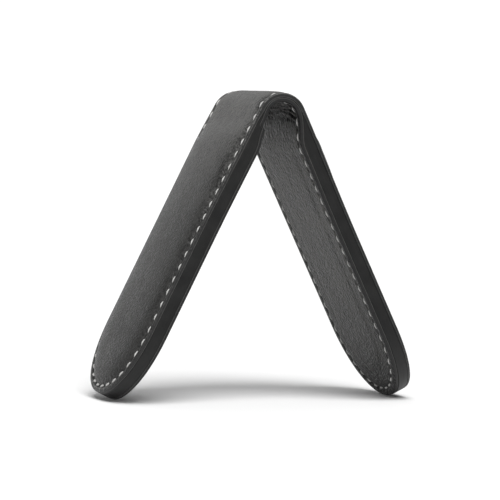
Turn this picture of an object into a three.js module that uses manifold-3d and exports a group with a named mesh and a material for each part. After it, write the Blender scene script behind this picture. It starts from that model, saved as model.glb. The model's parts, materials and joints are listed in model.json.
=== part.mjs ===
// A leather money clip with magnets in its legs, standing open on its two rounded tips.
//
// One leather strip is folded over at the top. Below the fold each leg is a stack: crowned outer
// leather, foam pad, core board with a keeper plate and two magnets, and the lining. A seam runs
// round the whole edge of both legs and over the fold.
//
// Units are millimetres, +Z is up, Y is the width and the origin is on the table, midway between
// the two tips. A leg is drawn in its own frame: x points out of its outer face, z runs up the leg
// and the origin is the fold's centre. The fold bends along two lines, one on each side of the top.

import * as THREE from 'three';
import { mergeVertices } from 'three/addons/utils/BufferGeometryUtils.js';
import Module from 'manifold-3d';

// Overall shape
const WIDTH = 38;
const LEG_LENGTH = 88; // from the fold's centre line to the tip
const LEG_TILT = 26.2; // degrees from the vertical
const FOLD_RADIUS = 7; // outside of the fold, and the outer face's distance from its centre
const LEG_THICKNESS = 5.25; // without the crown
const TIP_LENGTH = 20.5;
const TIP_POWER = 2.12; // 2 would be an ellipse, more is blunter
const TIP_SEGMENTS = 17; // odd, so that a short flat lies at the tip

// Layers, each kept GAP clear of the next
const GAP = 0.3;
const LEATHER = 1;
const FOLD_STRAP = 2.6; // outer leather, stay and lining together
const STAY = 0.4;
const STAY_GAP = 0.1;
const CROWN = 0.9; // how far the outer face swells
const FOAM = 0.6;
const KEEPER = 0.45;
const MAGNET_THICKNESS = 1.7;
const POCKET_SKIN = 0.05; // depth of a magnet under the core board's inner face

// Seam
const SEAM_MARGIN = 1.8; // edge to thread
const THREAD = 0.45;
const THREAD_SIDE_GAP = 0.3;
const OUTER_CHANNEL = 0.55;
const OUTER_THREAD_SUNK = 0.25; // thread's underside below the outer face
const LINING_CHANNEL = 0.75;
const LINING_THREAD_SUNK = 0.05; // thread's top under the lining's face

// Crown, foam pad, core board, keeper plate and magnets, in the plan of a leg
const CROWN_INSET = 2.8;
const CROWN_SHOULDER = 3.5;
const CROWN_TOP = -7; // where the swelling starts below the fold's centre
const FOAM_EXTRA_INSET = 0.6;
const CORE_MIN_EDGE = 0.5; // thickness of the core board's top edge
const KEEPER_SIZE = [24, 58];
const KEEPER_CENTRE = -46;
const MAGNET_SIZE = [20, 25];
const MAGNET_CENTRES = { upper: -32, lower: -60 };

// Lining's step from the fold onto the core board: start and end below the fold's centre
const STEP = { left: [-3.2, -7.6], right: [-1.5, -10.5] };
const STEP_POINTS = 8;

// Bend lines of the fold
const BEND_RADIUS = 5.7; // the strap's middle surface
const BEND_FROM_TOP = 38.25; // degrees each side of the top
const OUTER_RELIEF = 8; // degrees cut back from a bend line, so that the clip opens flat
const LINING_RELIEF = 5; // degrees cut back from a bend line, so that the clip closes
const ARC_STEP = 4; // degrees per facet

// Derived sizes
const TILT = THREE.MathUtils.degToRad(LEG_TILT);
const ARC_TO_TOP = 90 - LEG_TILT;
const BEND = ARC_TO_TOP - BEND_FROM_TOP; // bend line in a leg's frame, degrees above its x axis
const INNER_FACE = FOLD_RADIUS - LEG_THICKNESS;
const LINING_BACK = INNER_FACE + LEATHER;
const CORE_INNER = LINING_BACK + GAP;
const LEATHER_BACK = FOLD_RADIUS - LEATHER;
const CORE_OUTER = LEATHER_BACK - GAP;
const STRAP_INSIDE = FOLD_RADIUS - FOLD_STRAP;
const STRAP_LINING_BACK = STRAP_INSIDE + LEATHER;
const KEEPER_INNER = CORE_OUTER - KEEPER;
const MAGNET_INNER = CORE_INNER + POCKET_SKIN;
const TIP_START = TIP_LENGTH - LEG_LENGTH;
const BELOW_TIP = -LEG_LENGTH - 1;
const SEAM_Y = WIDTH / 2 - SEAM_MARGIN;
const CHANNEL_WIDTH = THREAD + 2 * THREAD_SIDE_GAP;
const FOLD_HEIGHT = LEG_LENGTH * Math.cos(TILT) - INNER_FACE * Math.sin(TILT);
const OVERLAP = 0.5; // how far joined shapes run into each other

const wasm = await Module();
wasm.setup();

const LOOKS = {
  leather: { color: 0x232322, roughness: 0.48, metalness: 0 },
  lining: { color: 0x2c2b29, roughness: 0.6, metalness: 0 },
  thread: { color: 0x8b8a86, roughness: 0.7, metalness: 0 },
  board: { color: 0x1c1c1b, roughness: 0.6, metalness: 0 },
  foam: { color: 0x5a5a58, roughness: 0.95, metalness: 0 },
  stay: { color: 0xb9b6ab, roughness: 0.9, metalness: 0 },
  steel: { color: 0x8e9194, roughness: 0.4, metalness: 1 },
  magnet: { color: 0xb9bcc0, roughness: 0.3, metalness: 1 },
};

// ---- Solids ----

function solidOf(geometry) {
  const bare = geometry.clone();
  bare.deleteAttribute('normal');
  bare.deleteAttribute('uv');
  const merged = mergeVertices(bare, 1e-5);
  return new wasm.Manifold(new wasm.Mesh({
    numProp: 3,
    vertProperties: new Float32Array(merged.attributes.position.array),
    triVerts: new Uint32Array(merged.index.array),
  }));
}

function geometryOf(solid) {
  const mesh = solid.getMesh();
  const geometry = new THREE.BufferGeometry();
  geometry.setAttribute('position', new THREE.BufferAttribute(mesh.vertProperties, 3));
  geometry.setIndex(new THREE.BufferAttribute(mesh.triVerts, 1));
  geometry.computeVertexNormals();
  return geometry;
}

const axisX = new THREE.Vector3(1, 0, 0);
const axisY = new THREE.Vector3(0, 1, 0);
const axisZ = new THREE.Vector3(0, 0, 1);
const planToLeg = new THREE.Matrix4().makeBasis(axisY, axisZ, axisX);
const sideToLeg = new THREE.Matrix4().makeBasis(axisX, axisZ, axisY.clone().negate());

// A plan shape, drawn in (y, z), between two distances along x.
function slab(shape, from, to) {
  const geometry = new THREE.ExtrudeGeometry(shape, { depth: to - from, bevelEnabled: false });
  geometry.translate(0, 0, from);
  geometry.applyMatrix4(planToLeg);
  return solidOf(geometry);
}

// A side profile, drawn in (x, z), between two distances along y.
function sideExtrusion(shape, from, to) {
  const geometry = new THREE.ExtrudeGeometry(shape, { depth: to - from, bevelEnabled: false });
  geometry.applyMatrix4(sideToLeg);
  geometry.translate(0, to, 0);
  return solidOf(geometry);
}

// A plan shape swollen into a low pillow: flat on the shape, rounded down over the shoulder.
function pillow(shape, middle, height, shoulder) {
  const geometry = new THREE.ExtrudeGeometry(shape, {
    depth: 0.01,
    bevelEnabled: true,
    bevelThickness: height,
    bevelSize: shoulder,
    bevelSegments: 4,
  });
  geometry.translate(0, 0, middle);
  geometry.applyMatrix4(planToLeg);
  return solidOf(geometry);
}

function box(centre, size) {
  const geometry = new THREE.BoxGeometry(...size);
  geometry.translate(...centre);
  return solidOf(geometry);
}

// ---- Outlines ----

// A leg's plan, set in from its edge, with a square top and a rounded tip.
function legOutline(inset, top) {
  const half = WIDTH / 2 - inset;
  const reach = TIP_LENGTH - inset;
  const flat = Math.cos(Math.PI / (2 * TIP_SEGMENTS)) ** (2 / TIP_POWER);
  const points = [new THREE.Vector2(-half, top)];
  for (let step = 0; step <= TIP_SEGMENTS; step += 1) {
    const angle = (Math.PI * step) / TIP_SEGMENTS;
    const across = -Math.sign(Math.cos(angle)) * Math.abs(Math.cos(angle)) ** (2 / TIP_POWER);
    const down = Math.abs(Math.sin(angle)) ** (2 / TIP_POWER) / flat;
    points.push(new THREE.Vector2(half * across, TIP_START - reach * down));
  }
  points.push(new THREE.Vector2(half, top));
  return new THREE.Shape(points);
}

// Points along an arc about the origin of a side profile, angles in degrees.
function arcPoints(radius, from, to) {
  const steps = Math.max(1, Math.round(Math.abs(to - from) / ARC_STEP));
  const points = [];
  for (let step = 0; step <= steps; step += 1) {
    const angle = THREE.MathUtils.degToRad(from + ((to - from) * step) / steps);
    points.push(new THREE.Vector2(radius * Math.cos(angle), radius * Math.sin(angle)));
  }
  return points;
}

// A strip of an arc between two radii.
function arcBand(inside, outside, from, to) {
  return new THREE.Shape([...arcPoints(outside, from, to), ...arcPoints(inside, to, from)]);
}

// Middle of the lining in side view, from the fold down past the tip.
function liningPath(side) {
  const [start, end] = STEP[side];
  const high = STRAP_INSIDE + LEATHER / 2;
  const low = INNER_FACE + LEATHER / 2;
  const points = [new THREE.Vector2(high, 0)];
  for (let step = 0; step <= STEP_POINTS; step += 1) {
    const t = step / STEP_POINTS;
    const eased = t * t * (3 - 2 * t);
    points.push(new THREE.Vector2(high + (low - high) * eased, start + (end - start) * t));
  }
  points.push(new THREE.Vector2(low, BELOW_TIP));
  return points;
}

// The path moved sideways, towards +x, at right angles to itself.
function offsetPath(path, distance) {
  return path.map((point, index) => {
    const before = path[Math.max(index - 1, 0)];
    const after = path[Math.min(index + 1, path.length - 1)];
    const along = after.clone().sub(before).normalize();
    return new THREE.Vector2(point.x - along.y * distance, point.y + along.x * distance);
  });
}

// ---- Pieces of a leg ----

// A U along the seam, open at the top, between two distances along x.
function seamRun(width, from, to) {
  const outside = slab(legOutline(SEAM_MARGIN - width / 2, OVERLAP), from, to);
  const inside = slab(legOutline(SEAM_MARGIN + width / 2, 2 * OVERLAP), from - 1, to + 1);
  return outside.subtract(inside);
}

// The two straight rows of the seam, as extrusions of a side profile.
function seamRows(profile, width) {
  const rows = [-SEAM_Y, SEAM_Y].map((y) => sideExtrusion(profile, y - width / 2, y + width / 2));
  return rows[0].add(rows[1]);
}

function outerLeather() {
  const plate = slab(legOutline(0, 0), LEATHER_BACK, FOLD_RADIUS);
  const foldEnd = BEND - OUTER_RELIEF;
  const turn = sideExtrusion(
    arcBand(LEATHER_BACK, FOLD_RADIUS, -1, foldEnd), -WIDTH / 2, WIDTH / 2,
  );
  const crownShape = legOutline(CROWN_INSET + CROWN_SHOULDER, CROWN_TOP - CROWN_SHOULDER);
  const crown = pillow(crownShape, FOLD_RADIUS, CROWN, CROWN_SHOULDER);
  const recess = pillow(crownShape, LEATHER_BACK, CROWN, CROWN_SHOULDER);
  const floor = FOLD_RADIUS - OUTER_CHANNEL;
  const channel = seamRun(CHANNEL_WIDTH, floor, FOLD_RADIUS + 1);
  const turnChannel = seamRows(arcBand(floor, FOLD_RADIUS + 1, -2, BEND), CHANNEL_WIDTH);
  return plate.add(turn).add(crown).subtract(recess).subtract(channel).subtract(turnChannel);
}

function outerThread() {
  const from = FOLD_RADIUS - OUTER_THREAD_SUNK;
  const run = seamRun(THREAD, from, from + THREAD);
  const turn = arcBand(from, from + THREAD, 0, BEND - OUTER_RELIEF);
  return run.add(seamRows(turn, THREAD));
}

function foamPad() {
  const inset = CROWN_INSET + CROWN_SHOULDER + FOAM_EXTRA_INSET;
  const shape = legOutline(inset, CROWN_TOP - CROWN_SHOULDER - FOAM_EXTRA_INSET);
  const whole = pillow(shape, LEATHER_BACK, FOAM, CROWN_SHOULDER - FOAM_EXTRA_INSET);
  const keep = slab(legOutline(0, 0), LEATHER_BACK, FOLD_RADIUS + CROWN);
  return whole.intersect(keep);
}

function lining(side) {
  const path = liningPath(side);
  const inner = offsetPath(path, -LEATHER / 2);
  const outer = offsetPath(path, LEATHER / 2);
  const band = new THREE.Shape([...outer, ...inner.reverse()]);
  const foldEnd = BEND - LINING_RELIEF;
  const turn = arcBand(STRAP_INSIDE, STRAP_LINING_BACK, -1, foldEnd);
  const plan = slab(legOutline(0, OVERLAP), 0, FOLD_RADIUS);
  const leg = sideExtrusion(band, -WIDTH / 2, WIDTH / 2).intersect(plan);
  const whole = leg.add(sideExtrusion(turn, -WIDTH / 2, WIDTH / 2));
  return whole.subtract(liningSeam(side, CHANNEL_WIDTH, -1, LINING_CHANNEL, foldEnd + 1));
}

// The seam on the lining side, between two depths under the lining's face.
function liningSeam(side, width, from, to, foldEnd) {
  const path = liningPath(side);
  const near = offsetPath(path, from - LEATHER / 2);
  const far = offsetPath(path, to - LEATHER / 2);
  const band = new THREE.Shape([...far, ...near.reverse()]);
  const sheet = sideExtrusion(band, -WIDTH / 2, WIDTH / 2);
  const run = sheet.intersect(seamRun(width, 0, FOLD_RADIUS));
  const turn = arcBand(STRAP_INSIDE + from, STRAP_INSIDE + to, -1, foldEnd);
  return run.add(seamRows(turn, width));
}

function liningThread(side) {
  const depth = LINING_THREAD_SUNK;
  return liningSeam(side, THREAD, depth, depth + THREAD, BEND - LINING_RELIEF);
}

function coreBoard(side) {
  const topOfPath = CORE_OUTER - CORE_MIN_EDGE;
  const inner = offsetPath(liningPath(side), LEATHER / 2 + GAP).filter((p) => p.x <= topOfPath);
  const top = inner[0].y;
  const outline = [new THREE.Vector2(CORE_OUTER, BELOW_TIP), new THREE.Vector2(CORE_OUTER, top)];
  const profile = new THREE.Shape([...outline, ...inner]);
  const board = sideExtrusion(profile, -WIDTH / 2, WIDTH / 2);
  const plan = slab(legOutline(0, 0), 0, FOLD_RADIUS);
  const keeperFloor = KEEPER_INNER - GAP;
  const recess = box(
    [CORE_OUTER, 0, KEEPER_CENTRE],
    [2 * (CORE_OUTER - keeperFloor), KEEPER_SIZE[0] + 2 * GAP, KEEPER_SIZE[1] + 2 * GAP],
  );
  const pockets = Object.values(MAGNET_CENTRES).map((z) => box(
    [CORE_INNER, 0, z],
    [2 * LEG_THICKNESS, MAGNET_SIZE[0] + 2 * GAP, MAGNET_SIZE[1] + 2 * GAP],
  ));
  return board.intersect(plan).subtract(recess).subtract(pockets[0]).subtract(pockets[1]);
}

function keeperPlate() {
  return box([KEEPER_INNER + KEEPER / 2, 0, KEEPER_CENTRE], [KEEPER, ...KEEPER_SIZE]);
}

function magnet(z) {
  return box([MAGNET_INNER + MAGNET_THICKNESS / 2, 0, z], [MAGNET_THICKNESS, ...MAGNET_SIZE]);
}

// ---- Assembly ----

function named(name, solid, look) {
  const mesh = new THREE.Mesh(geometryOf(solid), new THREE.MeshStandardMaterial(LOOKS[look]));
  mesh.name = name;
  return mesh;
}

function leg(side) {
  const group = new THREE.Group();
  group.add(
    named(`outer_leather_${side}`, outerLeather(), 'leather'),
    named(`foam_pad_${side}`, foamPad(), 'foam'),
    named(`core_board_${side}`, coreBoard(side), 'board'),
    named(`keeper_plate_${side}`, keeperPlate(), 'steel'),
    named(`lining_${side}`, lining(side), 'lining'),
    named(`outer_thread_${side}`, outerThread(), 'thread'),
    named(`lining_thread_${side}`, liningThread(side), 'thread'),
  );
  for (const [place, z] of Object.entries(MAGNET_CENTRES)) {
    group.add(named(`magnet_${side}_${place}`, magnet(z), 'magnet'));
  }
  return group;
}

// The top of the fold, between the two bend lines, drawn with its arc centred on +z.
function fold() {
  const group = new THREE.Group();
  const half = WIDTH / 2;
  const sector = (inside, outside, relief) => arcBand(
    inside, outside, 90 - BEND_FROM_TOP + relief, 90 + BEND_FROM_TOP - relief,
  );
  const rowOf = (profile, y) => sideExtrusion(profile, y - THREAD / 2, y + THREAD / 2);

  const floor = FOLD_RADIUS - OUTER_CHANNEL;
  const outer = sideExtrusion(sector(LEATHER_BACK, FOLD_RADIUS, OUTER_RELIEF), -half, half)
    .subtract(seamRows(sector(floor, FOLD_RADIUS + 1, 0), CHANNEL_WIDTH));
  group.add(named('outer_leather_fold', outer, 'leather'));

  const ceiling = STRAP_INSIDE + LINING_CHANNEL;
  const inner = sideExtrusion(sector(STRAP_INSIDE, STRAP_LINING_BACK, LINING_RELIEF), -half, half)
    .subtract(seamRows(sector(STRAP_INSIDE - 1, ceiling, 0), CHANNEL_WIDTH));
  group.add(named('lining_fold', inner, 'lining'));

  const stayInside = STRAP_LINING_BACK + STAY_GAP;
  const stay = sector(stayInside, stayInside + STAY, OUTER_RELIEF);
  const stayHalf = SEAM_Y - CHANNEL_WIDTH / 2 - GAP;
  group.add(named('fold_stay', sideExtrusion(stay, -stayHalf, stayHalf), 'stay'));

  const top = FOLD_RADIUS - OUTER_THREAD_SUNK;
  const under = STRAP_INSIDE + LINING_THREAD_SUNK;
  for (const [place, y] of [['front', -SEAM_Y], ['back', SEAM_Y]]) {
    const outerRow = sector(top, top + THREAD, OUTER_RELIEF);
    const innerRow = sector(under, under + THREAD, LINING_RELIEF);
    group.add(named(`outer_thread_fold_${place}`, rowOf(outerRow, y), 'thread'));
    group.add(named(`lining_thread_fold_${place}`, rowOf(innerRow, y), 'thread'));
  }
  return group;
}

const rightLeg = leg('right');
rightLeg.rotation.y = -TILT;

const turnedLeg = leg('left');
turnedLeg.rotation.z = Math.PI;
const leftLeg = new THREE.Group();
leftLeg.add(turnedLeg);
leftLeg.rotation.y = TILT;

const clip = new THREE.Group();
clip.add(rightLeg, leftLeg, fold());
clip.position.z = FOLD_HEIGHT;

export default clip;
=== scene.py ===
"""Looks of a leather money clip that stands open on its two tips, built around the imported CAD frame.

Each leg of the strap is drawn in strap coordinates, in millimetres: s runs along the strap from the
top of the fold to the tip, y runs across it, and n is the distance from the line through the fold's
centre, out through the leather. Surfaces are rings that follow the leg's outline, each set in from
the edge by its inset. The two halves of the strap meet at the top of the fold.
"""

import json
import math

import bpy
import numpy as np
from mathutils import Matrix, Vector, noise


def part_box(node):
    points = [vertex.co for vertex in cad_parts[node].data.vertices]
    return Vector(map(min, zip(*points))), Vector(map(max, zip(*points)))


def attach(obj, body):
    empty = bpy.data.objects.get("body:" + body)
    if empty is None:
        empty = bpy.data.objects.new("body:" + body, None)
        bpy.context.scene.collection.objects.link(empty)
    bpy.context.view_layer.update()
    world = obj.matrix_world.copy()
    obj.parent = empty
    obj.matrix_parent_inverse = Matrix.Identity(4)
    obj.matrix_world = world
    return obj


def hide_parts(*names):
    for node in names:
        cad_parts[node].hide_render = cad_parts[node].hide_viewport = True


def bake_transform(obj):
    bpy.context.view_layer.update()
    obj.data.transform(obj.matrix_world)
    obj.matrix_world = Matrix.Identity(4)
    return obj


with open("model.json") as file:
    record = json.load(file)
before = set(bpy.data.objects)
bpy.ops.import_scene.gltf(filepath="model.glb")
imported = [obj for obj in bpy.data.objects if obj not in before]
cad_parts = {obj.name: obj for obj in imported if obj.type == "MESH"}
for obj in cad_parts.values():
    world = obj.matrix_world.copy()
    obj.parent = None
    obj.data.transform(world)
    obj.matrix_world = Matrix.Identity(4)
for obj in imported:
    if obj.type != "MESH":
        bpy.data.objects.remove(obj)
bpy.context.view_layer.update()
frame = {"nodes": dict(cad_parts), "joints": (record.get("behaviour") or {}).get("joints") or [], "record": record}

MM = 0.001
SIDES = {"left": -1, "right": 1}

# ---- Shape of the strap, in millimetres, worked out from the frame where it holds the value ----

MOUNTS = {mount["name"]: mount for mount in frame["record"]["mounts"]}
JOINTS = {joint["name"]: joint for joint in frame["joints"]}
OUT_AXIS = MOUNTS["right_outer_face"]["axis"]
TILT = math.atan2(OUT_AXIS[2], OUT_AXIS[0])
STRAP_LOW, STRAP_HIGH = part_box("outer_leather_fold")
WIDTH = (STRAP_HIGH.y - STRAP_LOW.y) / MM
PIVOT = Vector(JOINTS["right_bend"]["pos_m"]) / MM

OUTER_N = 7.0  # outer face
FOLD_Z = STRAP_HIGH.z / MM - OUTER_N  # height of the fold's centre
MIDDLE_N = (PIVOT.xz - Vector((0, FOLD_Z))).length  # where the two leathers meet at the fold
FOLD_INNER_N = 2 * MIDDLE_N - OUTER_N  # lining face inside the fold
GRIP_POINT = Vector(MOUNTS["right_grip_face"]["pos_m"]) / MM
INNER_N = GRIP_POINT.x * math.cos(TILT) + (GRIP_POINT.z - FOLD_Z) * math.sin(TILT)
OUTER_BACK_N = OUTER_N - 1.0
LINING_BACK_N = INNER_N + 1.1
LEG = (FOLD_Z + INNER_N * math.sin(TILT)) / math.cos(TILT)  # fold's centre line to the tip
ARC = MIDDLE_N * (math.pi / 2 - TILT)  # length of half the fold
TIP = 20.5  # length of the rounded tip
TIP_POWER = 2.12
TIP_START = ARC + LEG - TIP
TIP_MARGIN = 0.15  # how much wider the seam's margin is at the tip

SEAM_INSET = 1.7  # of the seam on the outer face
LINING_SEAM_INSET = 2.2
PITCH = 3.8
SEAM_DEPTH = 0.2  # of the channel that the stitches pull into the leather
CROWN = 1.05  # rise of the pad's shoulder
CROWN_INSET = 2.2
CROWN_SHOULDER = 1.6
BELLY = 0.95  # further rise to the middle of the leg
FULL_PAD = {"left": 0.0, "right": 0.75}  # how much fuller the pad is near the fold
FOLD_CROWN = 0.36  # rise of the shoulder over the fold
LEAN = 0.65  # how far the fold leans to the right of the legs' middle
LEAN_FROM = (45, 70)  # height where the lean starts, at the front and the back edge
WRINKLE_PERIOD = 1.7
WRINKLE_DEPTH = 0.22
CROWN_START = (ARC + 3, ARC + 12)  # along s, where the pad begins and is full
# Lining onto the core: share of the rise, and where along the strap it starts and ends
STEP = {
    "left": ((0.15, ARC - 3, ARC + 4.4), (0.47, ARC + 4.4, ARC + 5.4), (0.38, ARC + 5.4, ARC + 11.5)),
    "right": ((1.0, ARC + 0.5, ARC + 10.5),),
}


def smooth(value):
    """0 below 0, 1 above 1, and an S curve between."""
    t = np.clip(value, 0, 1)
    return t * t * (3 - 2 * t)


def bump(value, width):
    """A bell curve of height 1."""
    return np.exp(-((value / width) ** 2))


def place(side, s, y, n):
    """Strap coordinates to points of the shared frame, in metres, with the lean of the fold."""
    s, y, n = np.broadcast_arrays(*[np.asarray(v, float) for v in (s, y, n)])
    angle = np.minimum(s, ARC) / MIDDLE_N
    beyond = np.maximum(s - ARC, 0)
    x = SIDES[side] * (n * np.sin(angle) + beyond * math.sin(TILT))
    z = FOLD_Z + n * np.cos(angle) - beyond * math.cos(TILT)
    start = LEAN_FROM[0] + (LEAN_FROM[1] - LEAN_FROM[0]) * (0.5 + y / WIDTH)
    x = x + LEAN * smooth((z - start) / (FOLD_Z + OUTER_N - start))
    return np.stack([x, y, z], axis=-1) * MM


def clouds(points, size, seed):
    """Smooth noise from -1 to 1 at strap points (s, y), with lumps of about the given size."""
    offset = Vector((seed * 17.3, seed * 5.1, seed * 9.7))
    return np.array([noise.noise(Vector((p[0], p[1], 0)) / size + offset) for p in points])


# ---- Outline of a leg ----

FOLD_STEP = 0.25
LEG_STEP = 0.42
SIDE_S = np.concatenate([
    [0, 0.02],
    np.arange(FOLD_STEP, ARC + 8, FOLD_STEP),
    np.linspace(ARC + 8.2, TIP_START, round((TIP_START - ARC - 8.2) / LEG_STEP)),
])
TIP_STEPS = 132


def outline(inset):
    """Points (s, y) down one side of a leg, round its tip and up the other side."""
    half = WIDTH / 2 - inset
    reach = TIP - inset - TIP_MARGIN * min(max(inset, 0) / SEAM_INSET, 1)
    angle = np.linspace(0, math.pi, TIP_STEPS + 1)[1:-1]
    across = -np.sign(np.cos(angle)) * np.abs(np.cos(angle)) ** (2 / TIP_POWER)
    down = np.sin(angle) ** (2 / TIP_POWER)
    s = np.concatenate([SIDE_S, TIP_START + reach * down, SIDE_S[::-1]])
    y = np.concatenate([np.full(len(SIDE_S), -half), half * across, np.full(len(SIDE_S), half)])
    return np.stack([s, y], axis=-1)


def lengths(points):
    """Distance along a line of points."""
    return np.concatenate([[0], np.cumsum(np.linalg.norm(np.diff(points, axis=0), axis=1))])


class SeamLine:
    """The line of a seam's thread round a leg, at an inset from the edge."""

    def __init__(self, inset):
        self.inset = inset
        self.line = outline(inset)
        self.distance = lengths(self.line)
        self.length = self.distance[-1]
        self.stitches = round(self.length / PITCH)
        self.phase = self.distance / self.length * self.stitches  # whole numbers at the holes

    def point(self, distance, sideways):
        """(s, y) at a distance along the seam, moved sideways towards the middle of the leg."""
        s, y = self.at(distance)
        ahead, behind = self.at(distance + 0.2), self.at(distance - 0.2)
        ds, dy = ahead[0] - behind[0], ahead[1] - behind[1]
        size = np.hypot(ds, dy)
        return s - sideways * dy / size, y + sideways * ds / size

    def at(self, distance):
        """(s, y) at a distance along the seam."""
        return tuple(np.interp(distance, self.distance, self.line[:, axis]) for axis in (0, 1))

    def dip(self, inset, depth):
        """The channel that the seam pulls into the leather, deepest at the holes."""
        hole = (0.5 + 0.5 * np.cos(2 * math.pi * self.phase)) ** 3
        channel = bump(inset - self.inset, 0.42) * depth
        pucker = bump(inset - self.inset, 0.75) * depth * 0.9 * hole
        return channel + pucker


OUTER_SEAM = SeamLine(SEAM_INSET)
LINING_SEAM = SeamLine(LINING_SEAM_INSET)


# ---- Meshes ----

def make_mesh(name, points, faces, flat_faces=(), slots=None):
    """A smooth-shaded object of quads and polygons, its faces turned outwards."""
    mesh = bpy.data.meshes.new(name)
    mesh.from_pydata(points.tolist(), [], [list(f) for f in faces] + [list(f) for f in flat_faces])
    smooth_count = len(faces)
    mesh.polygons.foreach_set("use_smooth", [i < smooth_count for i in range(len(mesh.polygons))])
    if slots is not None:
        mesh.polygons.foreach_set("material_index", list(slots) + [0] * len(flat_faces))
    mesh.update()
    if signed_volume(mesh) < 0:
        mesh.flip_normals()
    obj = bpy.data.objects.new(name, mesh)
    bpy.context.scene.collection.objects.link(obj)
    return obj


def signed_volume(mesh):
    """A number that is negative when the faces of a closed mesh are turned inwards."""
    mesh.calc_loop_triangles()
    corners = np.zeros(len(mesh.vertices) * 3)
    mesh.vertices.foreach_get("co", corners)
    corners = corners.reshape(-1, 3)
    triangles = np.zeros(len(mesh.loop_triangles) * 3, int)
    mesh.loop_triangles.foreach_get("vertices", triangles)
    a, b, c = corners[triangles.reshape(-1, 3)].transpose(1, 0, 2)
    return float(np.einsum("ij,ij->i", a, np.cross(b, c)).sum())


def keep_strap_coordinates(obj, coordinates):
    """Stores three numbers for each point of the mesh, for the materials.

    They are (s, y, inset) on leather and foam, (s, n, inset) on the side wall, and (distance along
    the seam, angle around the thread, number of the stitch) on stitches."""
    attribute = obj.data.attributes.new("strap", "FLOAT_VECTOR", "POINT")
    attribute.data.foreach_set("vector", np.asarray(coordinates, np.float32).ravel())


def shell(name, side, rings, slot_of_ring=None):
    """A closed skin over rings, each (inset, n along the ring). The first and last are filled."""
    plans = [outline(inset) for inset, n in rings]
    count = len(plans[0])
    points = np.concatenate([
        place(side, plan[:, 0], plan[:, 1], n) for plan, (inset, n) in zip(plans, rings)
    ])
    strap = np.concatenate([
        np.column_stack([SIDES[side] * plan[:, 0], plan[:, 1], np.full(count, inset)])
        for plan, (inset, n) in zip(plans, rings)
    ])
    faces, slots = [], []
    for ring in range(len(rings) - 1):
        a = ring * count
        b = a + count
        faces += [(a + j, a + j + 1, b + j + 1, b + j) for j in range(count - 1)]
        slots += [slot_of_ring(ring) if slot_of_ring else 0] * (count - 1)
    for first, turn in ((0, 1), ((len(rings) - 1) * count, -1)):
        for j in range(count // 2 - 1):
            quad = [first + j, first + j + 1, first + count - 2 - j, first + count - 1 - j]
            faces.append(quad[::-turn])
            slots.append(0)
        if count % 2:
            middle = count // 2
            faces.append([first + middle - 1, first + middle, first + middle + 1][::-turn])
            slots.append(0)
    near = [ring * count for ring in range(len(rings))]
    far = [ring * count + count - 1 for ring in reversed(range(len(rings)))]
    obj = make_mesh(name, points, faces, [near + far], slots)
    keep_strap_coordinates(obj, strap)
    return obj


# ---- Heights of the leather's surfaces ----

def pad_height(side, inset, s):
    """Height of the padded face over the leg's nominal plane."""
    fuller = FULL_PAD[side] * (1 - smooth((s - ARC - 12) / 30))
    rise = 1 - math.exp(-max(inset - CROWN_INSET, 0) / CROWN_SHOULDER)
    shoulder = (CROWN + fuller) * rise
    across = np.clip((inset - CROWN_INSET) / (WIDTH / 2 - CROWN_INSET), 0, 1)
    belly = BELLY * (1 - (1 - across) ** 2)
    along = smooth((s - CROWN_START[0]) / (CROWN_START[1] - CROWN_START[0]))
    return (shoulder + belly) * along + FOLD_CROWN * rise * (1 - along)


def edge_roll(inset, depth, reach):
    """How far the surface drops towards a rounded edge."""
    t = np.clip(1 - inset / reach, 0, 1)
    return depth * (1 - np.sqrt(np.clip(1 - t * t, 0, 1)))


def outer_surface(side, inset, plan):
    """Height of the outer leather's face over its nominal plane, along one ring."""
    s = plan[:, 0]
    pad = pad_height(side, inset, s)
    sag = 0.06 * clouds(plan, 11, 1) + 0.03 * clouds(plan, 4.5, 2)
    sag = sag * smooth((inset - 1) / 4)
    rim = 0.07 * bump(inset - 1.0, 0.2)
    return pad + sag + rim - edge_roll(inset, 0.45, 0.6) - OUTER_SEAM.dip(inset, SEAM_DEPTH)


def step_share(side, s):
    """How far the strap has thickened, from 0 in the fold to 1 on the leg."""
    return sum(part * smooth((s - start) / (end - start)) for part, start, end in STEP[side])


def lining_step(side, s):
    """Distance n of the lining's face along the strap: inside the fold, then over the core."""
    return FOLD_INNER_N + (INNER_N - FOLD_INNER_N) * step_share(side, s)


def fold_wrinkles(inset, plan):
    """Creases squeezed into the lining across the inside of the fold, from -1 to 1."""
    s, y = plan[:, 0], plan[:, 1]
    drift = 1.8 * clouds(plan, 6, 7) + 0.6 * clouds(plan, 1.9, 8) + 0.09 * y
    zone = (1 - smooth((s - ARC - 1.8) / 2.2)) * smooth((inset - 0.8) / 2.5)
    strength = np.clip(0.9 + 0.9 * clouds(plan, 2.2, 9), 0.2, 1)
    waves = np.sin((s + drift) * 2 * math.pi / WRINKLE_PERIOD)
    last = -bump(s + 0.5 * drift - ARC - 2.3, 0.5) * smooth((inset - 0.8) / 2.5)
    return np.clip(strength * waves * zone + last, -1, 1)


def lining_surface(inset, plan):
    """Height of the lining's face out from its nominal plane, along one ring."""
    s = plan[:, 0]
    frame_line = bump(inset - 7.2, 0.45) * 0.09 * smooth((s - ARC - 9) / 5)
    pad = 0.16 * smooth((inset - 7.2) / 2.2) * smooth((s - ARC - 8) / 8)
    sag = 0.06 * clouds(plan, 9, 5) + 0.04 * clouds(plan, 3.2, 6)
    wrinkles = WRINKLE_DEPTH * fold_wrinkles(inset, plan)
    return pad + wrinkles + sag * smooth((inset - 1) / 4) - frame_line \
        - edge_roll(inset, 0.35, 0.7) - LINING_SEAM.dip(inset, SEAM_DEPTH)


# ---- Pieces ----

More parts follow.
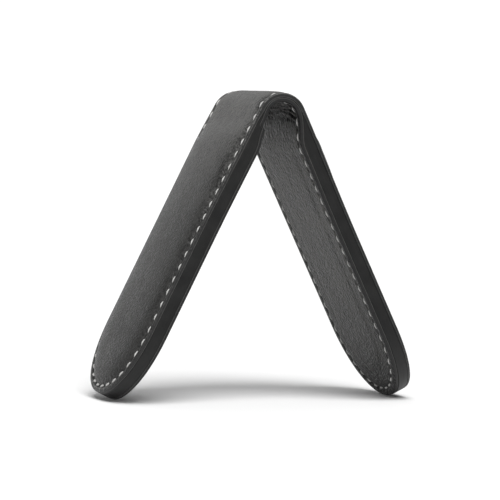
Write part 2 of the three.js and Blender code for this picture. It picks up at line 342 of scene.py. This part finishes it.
INNERMOST = WIDTH / 2 - 0.55  # inset of the last ring, next to the middle line of the leg
PAD_INSETS = np.linspace(6.4, INNERMOST, 15)
SEAM_INSETS = np.concatenate([np.arange(0.8, 3.0, 0.17), np.arange(3.1, 6.2, 0.5)])
EDGE_INSETS = np.array([0.01, 0.04, 0.09, 0.16, 0.27, 0.42, 0.62])
FACE_INSETS = np.concatenate([EDGE_INSETS, SEAM_INSETS, PAD_INSETS])[::-1]
# Rings of the cut edges, from the face to the back: inset, and distance from the leather's back
OUTER_EDGE = ((0.04, 0.34), (0.03, 0.26), (-0.05, 0.19), (-0.05, 0.12), (0.07, 0.05), (0.3, 0.02))
LINING_EDGE = ((0.02, 0.5), (0.01, 0.3), (-0.05, 0.2), (-0.04, 0.12), (0.15, 0.05))
# Insets of the rings on the hidden backs
OUTER_BACK_INSETS = (1.4, 2.2, 2.8, 3.6, 4.8, 6.6, 9.0, 13.0, INNERMOST)
LINING_BACK_INSETS = (1.6, 2.4, 4.0, 8.0, 13.0, INNERMOST)
# Section of the side wall: inset, and share of the height from the lining to the outer leather
WALL_PROFILE = (
    (0.6, 0.0), (0.12, 0.0), (-0.02, 0.01), (-0.11, 0.045), (-0.11, 0.09), (-0.07, 0.15),
    (-0.06, 0.5), (-0.06, 0.88), (-0.02, 0.95), (0.08, 0.99), (0.16, 1.0), (0.6, 1.0),
)


def back_of_outer(s):
    """Distance n of the outer leather's back along the edge."""
    return MIDDLE_N + (OUTER_BACK_N - MIDDLE_N) * smooth((s - ARC) / 4)


def back_of_lining(side, s):
    """Distance n of the lining's back along the strap."""
    fold_thickness = MIDDLE_N - FOLD_INNER_N
    leg_thickness = LINING_BACK_N - INNER_N
    thickness = fold_thickness + (leg_thickness - fold_thickness) * step_share(side, s)
    return lining_step(side, s) + thickness


def outer_leather(side):
    """One half of the outer leather, from the top of the fold to the tip."""
    rings = []
    for inset in FACE_INSETS:
        rings.append((inset, OUTER_N + outer_surface(side, inset, outline(inset))))
    at_edge = back_of_outer(outline(0)[:, 0])
    for inset, height in OUTER_EDGE:
        rings.append((inset, at_edge + height))
    for inset in OUTER_BACK_INSETS:
        plan = outline(inset)
        lift = pad_height(side, inset - 0.3, plan[:, 0])
        inner = at_edge + (OUTER_BACK_N - at_edge) * smooth((inset - 1.4) / 0.8)
        rings.append((inset, inner + lift))
    edge_rings = range(len(FACE_INSETS) - 2, len(FACE_INSETS) + len(OUTER_EDGE))
    obj = shell(f"outer_leather_visual_{side}", side, rings, lambda ring: int(ring in edge_rings))
    obj.data.materials.append(outer_leather_material())
    obj.data.materials.append(edge_material("outer_edge", 1.0))
    return finish_half(obj, side, "outer_leather")


def lining(side):
    """One half of the lining, from the top of the fold to the tip."""
    rings = []
    for inset in FACE_INSETS:
        plan = outline(inset)
        rings.append((inset, lining_step(side, plan[:, 0]) - lining_surface(inset, plan)))
    back = back_of_lining(side, outline(0)[:, 0]) - 0.01
    for inset, depth in LINING_EDGE:
        rings.append((inset, back - depth))
    for inset in LINING_BACK_INSETS:
        rings.append((inset, back - 0.18 * smooth((inset - 1.6) / 0.8)))
    edge_rings = range(len(FACE_INSETS) - 2, len(FACE_INSETS) + len(LINING_EDGE))
    obj = shell(f"lining_visual_{side}", side, rings, lambda ring: int(ring in edge_rings))
    wrinkles = [fold_wrinkles(inset, outline(inset)) for inset in FACE_INSETS]
    wrinkles += [np.zeros(len(back))] * (len(rings) - len(FACE_INSETS))
    attribute = obj.data.attributes.new("wrinkle", "FLOAT", "POINT")
    attribute.data.foreach_set("value", np.concatenate(wrinkles).astype(np.float32))
    obj.data.materials.append(lining_material())
    # The lining's cut edge is half as bright as the outer leather's: painted shade.
    obj.data.materials.append(edge_material("lining_edge_painted_shade", 0.5))
    return finish_half(obj, side, "lining")


def finish_half(obj, side, node):
    """Puts a half strap in place of its CAD nodes, which it hides, and bakes its placement."""
    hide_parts(f"{node}_{side}", f"{node}_fold")
    return bend(obj)


def bend(obj):
    """Bakes a piece's placement into its mesh."""
    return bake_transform(obj)


def edge_band(side):
    """The painted side wall of the core board, between the two leathers."""
    plan = outline(0)
    keep = step_share(side, plan[:, 0]) > 0.02
    s = plan[keep, 0]
    top = back_of_outer(s) + 0.03
    low = np.minimum(back_of_lining(side, s), top - 0.06) - 0.03
    tall = top - low
    points, strap = [], []
    for inset, share in WALL_PROFILE:
        ring = outline(inset)[keep]
        n = low + tall * share
        points.append(place(side, ring[:, 0], ring[:, 1], n))
        strap.append(np.column_stack([ring[:, 0], n, np.full(len(s), inset)]))
    count, turns = len(s), len(WALL_PROFILE)
    faces = [
        (r * count + j, r * count + j + 1, (r + 1) % turns * count + j + 1,
         (r + 1) % turns * count + j)
        for r in range(turns) for j in range(count - 1)
    ]
    caps = [[r * count + end for r in range(turns)] for end in (0, count - 1)]
    caps[1].reverse()
    obj = make_mesh(f"edge_band_{side}", np.concatenate(points), faces, caps)
    keep_strap_coordinates(obj, np.concatenate(strap))
    obj.data.materials.append(wall_material())
    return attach(obj, f"{side}_leg")


STITCH_STEPS = 22
STITCH_SIDES = 12
THREAD_ARCH = 0.42  # rise from the ends of a stitch to its middle
THREAD_FLATNESS = 0.78  # height of the thread over its width
LOBE_DEPTH = 0.13  # of the two strands that the thread is twisted from
LOBE_TWIST = 1.05  # turn of the strands from one step to the next, in radians
THREAD_SUNK = {"outer": 0.22, "lining": 0.2}  # how far the seam lies below the nominal face
THREAD_DIVE = 0.34  # how much deeper than that the ends of a stitch lie


def stitch_row(name, side, line, face, out, width, tail, length, slant):
    """All stitches of one half: twisted threads that dive into the leather at both ends.

    face(s) gives the n of the leather under the stitch, and out is +1 or -1, away from it. width and
    tail are the thread's radius in the middle and at the ends of a stitch, and slant is how far
    across the seam it runs over its length."""
    pitch = line.length / line.stitches
    points, faces, caps, strap = [], [], [], []
    around = np.linspace(0, 2 * math.pi, STITCH_SIDES, endpoint=False)
    for index in range(line.stitches):
        wobble = noise.noise(Vector((index * 3.7, 1.3 * SIDES[side], out)))
        t = np.linspace(0, 1, STITCH_STEPS)
        distance = (index + 0.5) * pitch + (t - 0.5) * length
        sideways = SIDES[side] * slant * (t - 0.5) * (1 + 0.3 * wobble) + 0.06 * wobble
        s, y = line.point(distance, sideways)
        arch = np.sin(math.pi * t)
        radius = tail + (width - tail) * arch ** 0.8
        lift = THREAD_ARCH * arch ** 0.6 - THREAD_DIVE
        ds, dy = np.gradient(s), np.gradient(y)
        size = np.hypot(ds, dy)
        base = len(points) * STITCH_SIDES
        for step in range(STITCH_STEPS):
            lobes = 1 + LOBE_DEPTH * np.cos(2 * around + step * LOBE_TWIST)
            across = radius[step] * np.cos(around) * lobes
            up = THREAD_FLATNESS * radius[step] * np.sin(around) * lobes
            ring_s = s[step] - across * dy[step] / size[step]
            ring_y = y[step] + across * ds[step] / size[step]
            ring_n = face(s[step]) + out * (lift[step] + up)
            points.append(place(side, np.maximum(ring_s, 0), ring_y, ring_n))
            strap.append(np.column_stack([
                np.full(STITCH_SIDES, distance[step]), around, np.full(STITCH_SIDES, index),
            ]))
        for step in range(STITCH_STEPS - 1):
            a = base + step * STITCH_SIDES
            faces += [
                (a + k, a + (k + 1) % STITCH_SIDES, a + STITCH_SIDES + (k + 1) % STITCH_SIDES,
                 a + STITCH_SIDES + k)
                for k in range(STITCH_SIDES)
            ]
        caps.append([base + k for k in reversed(range(STITCH_SIDES))])
        last = base + (STITCH_STEPS - 1) * STITCH_SIDES
        caps.append([last + k for k in range(STITCH_SIDES)])
    obj = make_mesh(name, np.concatenate(points), faces, caps)
    keep_strap_coordinates(obj, np.concatenate(strap))
    return obj


FOLD_ROWS = {"left": "front", "right": "back"}


def seam(side):
    """The stitches on both faces of one half."""
    outer_sunk = OUTER_SEAM.dip(SEAM_INSET, THREAD_SUNK["outer"]).min()
    outer = stitch_row(
        f"outer_stitches_{side}", side, OUTER_SEAM,
        lambda s: OUTER_N - outer_sunk, 1, width=0.35, tail=0.13, length=2.5, slant=0.7,
    )
    outer.data.materials.append(thread_material("thread_outer", 0.62))
    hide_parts(f"outer_thread_{side}", f"outer_thread_fold_{FOLD_ROWS[side]}")
    bend(outer)
    lining_sunk = LINING_SEAM.dip(LINING_SEAM_INSET, THREAD_SUNK["lining"]).min()
    inner = stitch_row(
        f"lining_stitches_{side}", side, LINING_SEAM,
        lambda s: lining_step(side, s) + lining_sunk, -1, width=0.25, tail=0.1, length=2.5,
        slant=0.0,
    )
    inner.data.materials.append(thread_material("thread_lining", 0.6))
    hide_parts(f"lining_thread_{side}", f"lining_thread_fold_{FOLD_ROWS[side]}")
    bend(inner)


def foam_pad(side):
    """The soft pad that swells the outer face, in place of its CAD solid."""
    edge = CROWN_INSET + 1.6
    rings = []
    for share in (1.0, 0.92, 0.8, 0.6, 0.4, 0.2, 0.05):
        inset = edge + (INNERMOST - edge) * share
        plan = outline(inset)
        height = 0.9 * pad_height(side, inset - 0.3, plan[:, 0])
        rings.append((inset, OUTER_BACK_N - 0.24 + height + 0.03 * clouds(plan, 6, 9)))
    rings.append((edge, np.full(len(outline(edge)), OUTER_BACK_N - 0.26)))
    for share in (0.1, 0.5, 1.0):
        inset = edge + (INNERMOST - edge) * share
        rings.append((inset, np.full(len(outline(inset)), OUTER_BACK_N - 0.29)))
    obj = shell(f"foam_pad_visual_{side}", side, rings)
    obj.data.materials.append(foam_material())
    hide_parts(f"foam_pad_{side}")
    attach(obj, f"{side}_leg")
    return obj


# ---- Materials ----

class Nodes:
    """A short way to write a node material."""

    def __init__(self, name):
        self.material = bpy.data.materials.new(name)
        self.material.use_nodes = True
        self.tree = self.material.node_tree
        self.shader = self.tree.nodes["Principled BSDF"]

    def add(self, kind, settings=None, **inputs):
        node = self.tree.nodes.new(kind)
        for key, value in (settings or {}).items():
            setattr(node, key, value)
        for key, value in inputs.items():
            self.feed(node, key.replace("_", " "), value)
        return node

    def feed(self, node, name, value):
        """Links or sets an input, given by its name, or by its number as in i0."""
        socket = node.inputs[int(name[1:])] if name[0] == "i" and name[1:].isdigit() \
            else node.inputs[name]
        if isinstance(value, bpy.types.NodeSocket):
            self.tree.links.new(value, socket)
        else:
            socket.default_value = value

    def strap(self):
        """The three numbers kept on the mesh."""
        return self.add("ShaderNodeAttribute", {"attribute_name": "strap"}).outputs["Vector"]

    def noise(self, vector, size, detail=3.0, roughness=0.55):
        """Noise with lumps of a size in millimetres, from 0 to 1."""
        return self.add("ShaderNodeTexNoise", Vector=vector, Scale=1 / size, Detail=detail,
                        Roughness=roughness).outputs["Fac"]

    def cells(self, vector, size):
        """Distance from the middle of cells of a size in millimetres."""
        return self.add("ShaderNodeTexVoronoi", {"feature": "SMOOTH_F1"}, Vector=vector,
                        Scale=1 / size).outputs["Distance"]

    def stretch(self, vector, *scale):
        """A vector scaled along each axis."""
        return self.add("ShaderNodeMapping", Vector=vector, Scale=scale).outputs[0]

    def split(self, vector, axis):
        """One axis of a vector."""
        return self.add("ShaderNodeSeparateXYZ", Vector=vector).outputs[axis]

    def size_of(self, value):
        """A number without its sign."""
        return self.add("ShaderNodeMath", {"operation": "ABSOLUTE"}, i0=value).outputs[0]

    def band(self, value, centre, half_width):
        """1 at the centre, falling to 0 at half a width to each side."""
        away = self.add("ShaderNodeMath", {"operation": "SUBTRACT"}, i0=value, i1=centre)
        return self.spread(self.size_of(away.outputs[0]), half_width, 0.0)

    def painted_shade_towards_tip(self, colour, least):
        """Darkens a colour down the leg, to the least share of it at the tip, as painted shade."""
        along = self.size_of(self.split(self.strap(), "X"))
        share = self.spread(along, TIP_START - 30, TIP_START + TIP, 1.0, least)
        node = self.add("ShaderNodeVectorMath", {"operation": "SCALE"}, i0=colour)
        self.tree.links.new(share, node.inputs["Scale"])
        return node.outputs[0]

    def spread(self, value, low, high, out_low=0.0, out_high=1.0):
        """Maps low to high onto another range, clamped."""
        node = self.add("ShaderNodeMapRange", Value=value)
        for name, number in (("From Min", low), ("From Max", high), ("To Min", out_low),
                             ("To Max", out_high)):
            node.inputs[name].default_value = number
        return node.outputs["Result"]

    def mix(self, factor, first, second):
        """A mix of two grey or coloured values."""
        node = self.add("ShaderNodeMix", {"data_type": "RGBA"})
        self.feed(node, "Factor", factor)
        for socket, value in ((node.inputs[6], first), (node.inputs[7], second)):
            if isinstance(value, bpy.types.NodeSocket):
                self.tree.links.new(value, socket)
            else:
                socket.default_value = (*value, 1)
        return node.outputs[2]

    def total(self, *terms):
        """Sum of (value, weight) pairs."""
        result = None
        for value, weight in terms:
            scaled = self.add("ShaderNodeMath", {"operation": "MULTIPLY"}, i0=value, i1=weight)
            result = scaled.outputs[0] if result is None else self.add(
                "ShaderNodeMath", {"operation": "ADD"}, i0=result, i1=scaled.outputs[0],
            ).outputs[0]
        return result

    def finish(self, colour, roughness, height, depth_mm, **constants):
        """Connects colour, roughness and relief, and sets the shader's plain values."""
        self.feed(self.shader, "Base Color", colour)
        self.feed(self.shader, "Roughness", roughness)
        relief = self.add("ShaderNodeBump", Height=height, Strength=1.0, Distance=depth_mm * MM)
        self.tree.links.new(relief.outputs["Normal"], self.shader.inputs["Normal"])
        for key, value in constants.items():
            self.shader.inputs[key.replace("_", " ")].default_value = value
        return self.material


MATERIALS = {}


def once(builder):
    """Builds a material the first time it is asked for."""
    def get(*args):
        key = (builder.__name__, *args)
        if key not in MATERIALS:
            MATERIALS[key] = builder(*args)
        return MATERIALS[key]
    return get


@once
def outer_leather_material():
    """Black leather with fine grain, paler over the fold as painted light, darker towards the tip as painted
    shade, and a painted shade line and a painted highlight line at its edge.
    """
    m = Nodes("outer_leather")
    at = m.strap()
    wide = m.stretch(at, 1.0, 0.55, 1.0)
    grain = m.cells(wide, 0.7)
    mottle = m.noise(wide, 0.6, 2.0, 0.6)
    creases = m.noise(wide, 2.2, 3.0, 0.6)
    patches = m.noise(at, 9.0, 3.0, 0.5)
    tone = m.total((patches, 0.25), (creases, 0.15), (mottle, 0.6))
    colour = m.mix(m.spread(tone, 0.41, 0.59), (0.005, 0.005, 0.0047), (0.034, 0.0336, 0.032))
    # Darker towards the tip: painted shade.
    colour = m.painted_shade_towards_tip(colour, 0.55)
    along = m.size_of(m.split(at, "X"))
    # Paler over the top of the fold: painted light.
    painted_fold_light = m.spread(along, 40, 8, 0.0, 0.5)
    pale = m.mix(m.spread(tone, 0.42, 0.58), (0.025, 0.0248, 0.0236), (0.185, 0.183, 0.176))
    colour = m.mix(painted_fold_light, colour, pale)
    inset = m.split(at, "Z")
    # A dark line along the edge's groove is painted shade; a pale line on the rim beside the stitches is a painted
    # highlight.
    painted_groove_shade = m.band(inset, 0.5, 0.24)
    colour = m.mix(painted_groove_shade, colour, (0.004, 0.004, 0.004))
    painted_edge_highlight = m.band(inset, 0.95, 0.25)
    colour = m.mix(painted_edge_highlight, colour, (0.085, 0.084, 0.08))
    roughness = m.spread(m.total((patches, 0.3), (mottle, 0.7)), 0.38, 0.62, 0.36, 0.62)
    height = m.total((grain, 0.5), (mottle, 1.0), (creases, 0.4))
    return m.finish(colour, roughness, height, 0.4, Specular_IOR_Level=0.45)


@once
def lining_material():
    """Pebbled black lining leather, darker inside the fold and towards the tip as painted shade, with painted
    shade in its wrinkles' hollows and painted highlights on their crests.
    """
    m = Nodes("lining_leather")
    at = m.strap()
    wide = m.stretch(at, 1.0, 0.5, 1.0)
    warp = m.noise(wide, 1.4, 2.0, 0.5)
    shifted = m.add("ShaderNodeVectorMath", {"operation": "ADD"}, i0=wide)
    m.tree.links.new(m.total((warp, 0.9)), shifted.inputs[1])
    pebbles = m.cells(shifted.outputs[0], 0.9)
    mottle = m.noise(wide, 0.7, 2.0, 0.6)
    patches = m.noise(at, 6.0, 3.0, 0.55)
    tone = m.total((patches, 0.35), (mottle, 0.65))
    colour = m.mix(m.spread(tone, 0.44, 0.58), (0.001, 0.001, 0.001), (0.068, 0.0665, 0.061))
    # Darker towards the tip: painted shade.
    colour = m.painted_shade_towards_tip(colour, 0.35)
    along = m.size_of(m.split(at, "X"))
    # Darker inside the fold: painted shade.
    painted_fold_shade = m.spread(along, ARC + 7, ARC + 2, 0.0, 0.75)
    colour = m.mix(painted_fold_shade, colour, (0.006, 0.006, 0.0055))
    painted_rim = m.spread(m.split(at, "Z"), 1.7, 1.3)
    colour = m.mix(painted_rim, colour, (0.005, 0.005, 0.0048))
    wrinkle = m.add("ShaderNodeAttribute", {"attribute_name": "wrinkle"}).outputs["Fac"]
    # Darker in the wrinkles' hollows: painted shade; paler on their crests: painted highlight.
    colour = m.mix(m.spread(wrinkle, 0.0, -0.9), colour, (0.001, 0.001, 0.001))
    colour = m.mix(m.spread(wrinkle, 0.3, 1.0, 0.0, 0.7), colour, (0.09, 0.088, 0.082))
    roughness = m.spread(m.total((patches, 0.3), (mottle, 0.7)), 0.38, 0.62, 0.38, 0.62)
    height = m.total((pebbles, 0.9), (mottle, 0.9), (patches, 0.5))
    gloss = m.spread(along, ARC + 7, ARC + 2, 0.42, 0.12)
    m.feed(m.shader, "Specular IOR Level", gloss)
    return m.finish(colour, roughness, height, 0.5)


@once
def edge_material(name, brightness):
    """Painted cut edge of a leather, paler where it bulges out past the outline: a painted highlight."""
    m = Nodes(name)
    at = m.strap()
    streaks = m.noise(m.stretch(at, 0.4, 1.0, 1.0), 0.5, 4.0, 0.6)
    dark = [0.008 * brightness] * 3
    light = [0.022 * brightness] * 3
    colour = m.mix(m.spread(streaks, 0.35, 0.7), dark, light)
    # Paler where the edge bulges out: painted highlight.
    painted_bulge_highlight = m.spread(m.split(at, "Z"), 0.0, -0.045)
    colour = m.mix(painted_bulge_highlight, colour, m.mix(streaks, (0.02, 0.02, 0.02), (0.11, 0.109, 0.105)))
    roughness = m.spread(streaks, 0.3, 0.7, 0.45, 0.62)
    return m.finish(colour, roughness, streaks, 0.05, Specular_IOR_Level=0.4)


@once
def wall_material():
    """Painted side wall of the core board."""
    m = Nodes("painted_wall")
    at = m.strap()
    lines = m.noise(m.stretch(at, 0.12, 1.0, 1.0), 0.6, 3.0, 0.5)
    patches = m.noise(at, 5.0, 3.0, 0.5)
    colour = m.mix(m.spread(patches, 0.35, 0.65), (0.003, 0.003, 0.003), (0.008, 0.008, 0.0078))
    roughness = m.spread(m.total((patches, 0.5), (lines, 0.5)), 0.3, 0.7, 0.44, 0.56)
    return m.finish(colour, roughness, lines, 0.04, Specular_IOR_Level=0.36)


@once
def thread_material(name, brightness):
    """Twisted grey thread with fine fibres."""
    m = Nodes(name)
    at = m.strap()
    fibres = m.noise(at, 0.12, 4.0, 0.7)
    soil = m.noise(at, 2.5, 2.0, 0.5)
    dark = [0.5 * brightness * share for share in (1.0, 0.99, 0.96)]
    light = [brightness * share for share in (1.0, 0.99, 0.97)]
    colour = m.mix(m.spread(m.total((fibres, 0.5), (soil, 0.5)), 0.3, 0.65), dark, light)
    roughness = m.spread(fibres, 0.3, 0.7, 0.6, 0.8)
    return m.finish(colour, roughness, fibres, 0.03, Specular_IOR_Level=0.3, Sheen_Weight=0.15)


@once
def foam_material():
    """Grey closed-cell foam."""
    m = Nodes("foam")
    at = m.strap()
    cells = m.cells(at, 0.3)
    colour = m.mix(m.spread(cells, 0.1, 0.6), (0.07, 0.07, 0.07), (0.13, 0.13, 0.13))
    roughness = m.spread(cells, 0.1, 0.6, 0.85, 0.95)
    return m.finish(colour, roughness, cells, 0.06, Specular_IOR_Level=0.2)


def object_mm(m):
    """Object coordinates in millimetres, for CAD nodes."""
    source = m.add("ShaderNodeTexCoord").outputs["Object"]
    scaled = m.add("ShaderNodeVectorMath", {"operation": "SCALE"}, i0=source)
    scaled.inputs["Scale"].default_value = 1 / MM
    return scaled.outputs[0]


@once
def board_material():
    """Dark leatherboard."""
    m = Nodes("leatherboard")
    at = object_mm(m)
    fibres = m.noise(at, 0.8, 5.0, 0.65)
    colour = m.mix(m.spread(fibres, 0.35, 0.65), (0.014, 0.013, 0.012), (0.03, 0.027, 0.024))
    roughness = m.spread(fibres, 0.3, 0.7, 0.7, 0.85)
    return m.finish(colour, roughness, fibres, 0.06, Specular_IOR_Level=0.3)


@once
def steel_material():
    """Cold-rolled mild steel."""
    m = Nodes("keeper_steel")
    at = object_mm(m)
    lines = m.noise(m.stretch(at, 1.0, 1.0, 0.05), 0.2, 3.0, 0.5)
    colour = m.mix(m.spread(lines, 0.3, 0.7), (0.42, 0.43, 0.44), (0.58, 0.58, 0.59))
    roughness = m.spread(lines, 0.3, 0.7, 0.3, 0.42)
    return m.finish(colour, roughness, lines, 0.01, Metallic=1.0)


@once
def nickel_material():
    """Nickel plating on the magnets."""
    m = Nodes("magnet_nickel")
    at = object_mm(m)
    patches = m.noise(at, 4.0, 4.0, 0.6)
    colour = m.mix(m.spread(patches, 0.35, 0.65), (0.58, 0.57, 0.53), (0.68, 0.66, 0.62))
    roughness = m.spread(patches, 0.3, 0.7, 0.16, 0.26)
    return m.finish(colour, roughness, patches, 0.01, Metallic=1.0)


@once
def stay_material():
    """Woven cotton tape."""
    m = Nodes("stay_tape")
    at = object_mm(m)
    threads = m.add("ShaderNodeTexWave", Vector=at, Scale=1.2, Distortion=0.6).outputs["Fac"]
    colour = m.mix(threads, (0.34, 0.32, 0.28), (0.5, 0.48, 0.43))
    roughness = m.spread(threads, 0.0, 1.0, 0.8, 0.92)
    return m.finish(colour, roughness, threads, 0.05, Specular_IOR_Level=0.2)


def finish_cad_nodes():
    """Gives the CAD nodes that stay their materials."""
    looks = {
        "core_board": board_material(),
        "keeper_plate": steel_material(),
        "magnet": nickel_material(),
        "fold_stay": stay_material(),
    }
    for name, node in frame["nodes"].items():
        for start, material in looks.items():
            if name.startswith(start):
                node.data.materials.clear()
                node.data.materials.append(material)


# ---- Stage, light and camera ----

# Brightness of the studio by direction: axis, where it starts, where it is full, and both values
WORLD_LIGHT = (("Z", 0.3, 0.95, 0.06, 0.5), ("Y", 0.82, 1.0, 0.0, 1.9))
SEEN_BRIGHTNESS = 1.1  # of the backdrop, as the camera sees it
FLOOR_HALF = 6.0  # metres
# Name, direction towards the light, strength and spread in degrees
SUNS = (
    ("overhead", (-0.05, -0.48, 0.87), 3.2, 46),
    ("behind", (0.05, 0.5, 0.86), 0.3, 50),
    ("front_left", (-0.85, -0.45, 0.3), 0.6, 20),
)
CAMERA_CENTRE = (-0.00106, 0, 0.0412)  # the point it looks at, in metres
CAMERA_DISTANCE = 0.892
CAMERA_ANGLES = (20.4, 3.06, 1.21)  # to the left, up, and tipped over, in degrees
CAMERA_LENS = 230.7
CAMERA_SENSOR = 36


def floor():
    """A pale matte floor."""
    corners = [(x * FLOOR_HALF, y * FLOOR_HALF, 0) for x, y in ((-1, -1), (1, -1), (1, 1), (-1, 1))]
    mesh = bpy.data.meshes.new("floor")
    mesh.from_pydata(corners, [], [(0, 1, 2, 3)])
    obj = bpy.data.objects.new("floor", mesh)
    bpy.context.scene.collection.objects.link(obj)
    material = bpy.data.materials.new("floor")
    material.use_nodes = True
    shader = material.node_tree.nodes["Principled BSDF"]
    shader.inputs["Base Color"].default_value = (0.84, 0.84, 0.84, 1)
    shader.inputs["Roughness"].default_value = 0.9
    shader.inputs["Specular IOR Level"].default_value = 0.1
    mesh.materials.append(material)


def studio_world():
    """A white studio: a soft light overhead, a bright backdrop behind and dim sides."""
    world = bpy.data.worlds.new("studio")
    bpy.context.scene.world = world
    world.use_nodes = True
    tree = world.node_tree
    tree.nodes.clear()
    coordinates = tree.nodes.new("ShaderNodeTexCoord")
    split = tree.nodes.new("ShaderNodeSeparateXYZ")
    tree.links.new(coordinates.outputs["Generated"], split.inputs[0])
    parts = []
    for axis, start, end, low, high in WORLD_LIGHT:
        ramp = tree.nodes.new("ShaderNodeMapRange")
        ramp.interpolation_type = "SMOOTHSTEP"
        for name, value in (("From Min", start), ("From Max", end), ("To Min", low),
                            ("To Max", high)):
            ramp.inputs[name].default_value = value
        tree.links.new(split.outputs[axis], ramp.inputs["Value"])
        parts.append(ramp.outputs[0])
    total = tree.nodes.new("ShaderNodeMath")
    tree.links.new(parts[0], total.inputs[0])
    tree.links.new(parts[1], total.inputs[1])
    light = tree.nodes.new("ShaderNodeBackground")
    seen = tree.nodes.new("ShaderNodeBackground")
    seen.inputs["Color"].default_value = (1, 1, 1, 1)
    seen.inputs["Strength"].default_value = SEEN_BRIGHTNESS
    path = tree.nodes.new("ShaderNodeLightPath")
    mix = tree.nodes.new("ShaderNodeMixShader")
    out = tree.nodes.new("ShaderNodeOutputWorld")
    tree.links.new(total.outputs[0], light.inputs["Strength"])
    tree.links.new(path.outputs["Is Camera Ray"], mix.inputs[0])
    tree.links.new(light.outputs[0], mix.inputs[1])
    tree.links.new(seen.outputs[0], mix.inputs[2])
    tree.links.new(mix.outputs[0], out.inputs[0])


def soft_sun(name, towards, strength, spread):
    """A light from one direction, spread over a wide angle so that its shadows are soft."""
    data = bpy.data.lights.new(name, "SUN")
    data.energy = strength
    data.angle = math.radians(spread)
    lamp = bpy.data.objects.new(name, data)
    bpy.context.scene.collection.objects.link(lamp)
    lamp.rotation_euler = Vector(towards).to_track_quat("Z", "Y").to_euler()


def camera():
    """A long lens, a little above the table and a little to the left, tipped by about a degree."""
    a, e, r = (math.radians(angle) for angle in CAMERA_ANGLES)
    back = Vector((-math.sin(a) * math.cos(e), -math.cos(a) * math.cos(e), math.sin(e)))
    right = Vector((0, 0, 1)).cross(back).normalized()
    up = back.cross(right)
    right, up = right * math.cos(r) + up * math.sin(r), up * math.cos(r) - right * math.sin(r)
    data = bpy.data.cameras.new("camera")
    data.lens = CAMERA_LENS
    data.sensor_width = CAMERA_SENSOR
    data.clip_start, data.clip_end = 0.01, 30
    obj = bpy.data.objects.new("camera", data)
    bpy.context.scene.collection.objects.link(obj)
    basis = Matrix((right, up, back)).transposed().to_4x4()
    basis.translation = Vector(CAMERA_CENTRE) + back * CAMERA_DISTANCE
    obj.matrix_world = basis
    bpy.context.scene.camera = obj


for side_name in SIDES:
    outer_leather(side_name)
    lining(side_name)
    edge_band(side_name)
    seam(side_name)
    foam_pad(side_name)
finish_cad_nodes()
floor()
studio_world()
for sun in SUNS:
    soft_sun(*sun)
camera()
bpy.context.scene.view_settings.view_transform = "Standard"
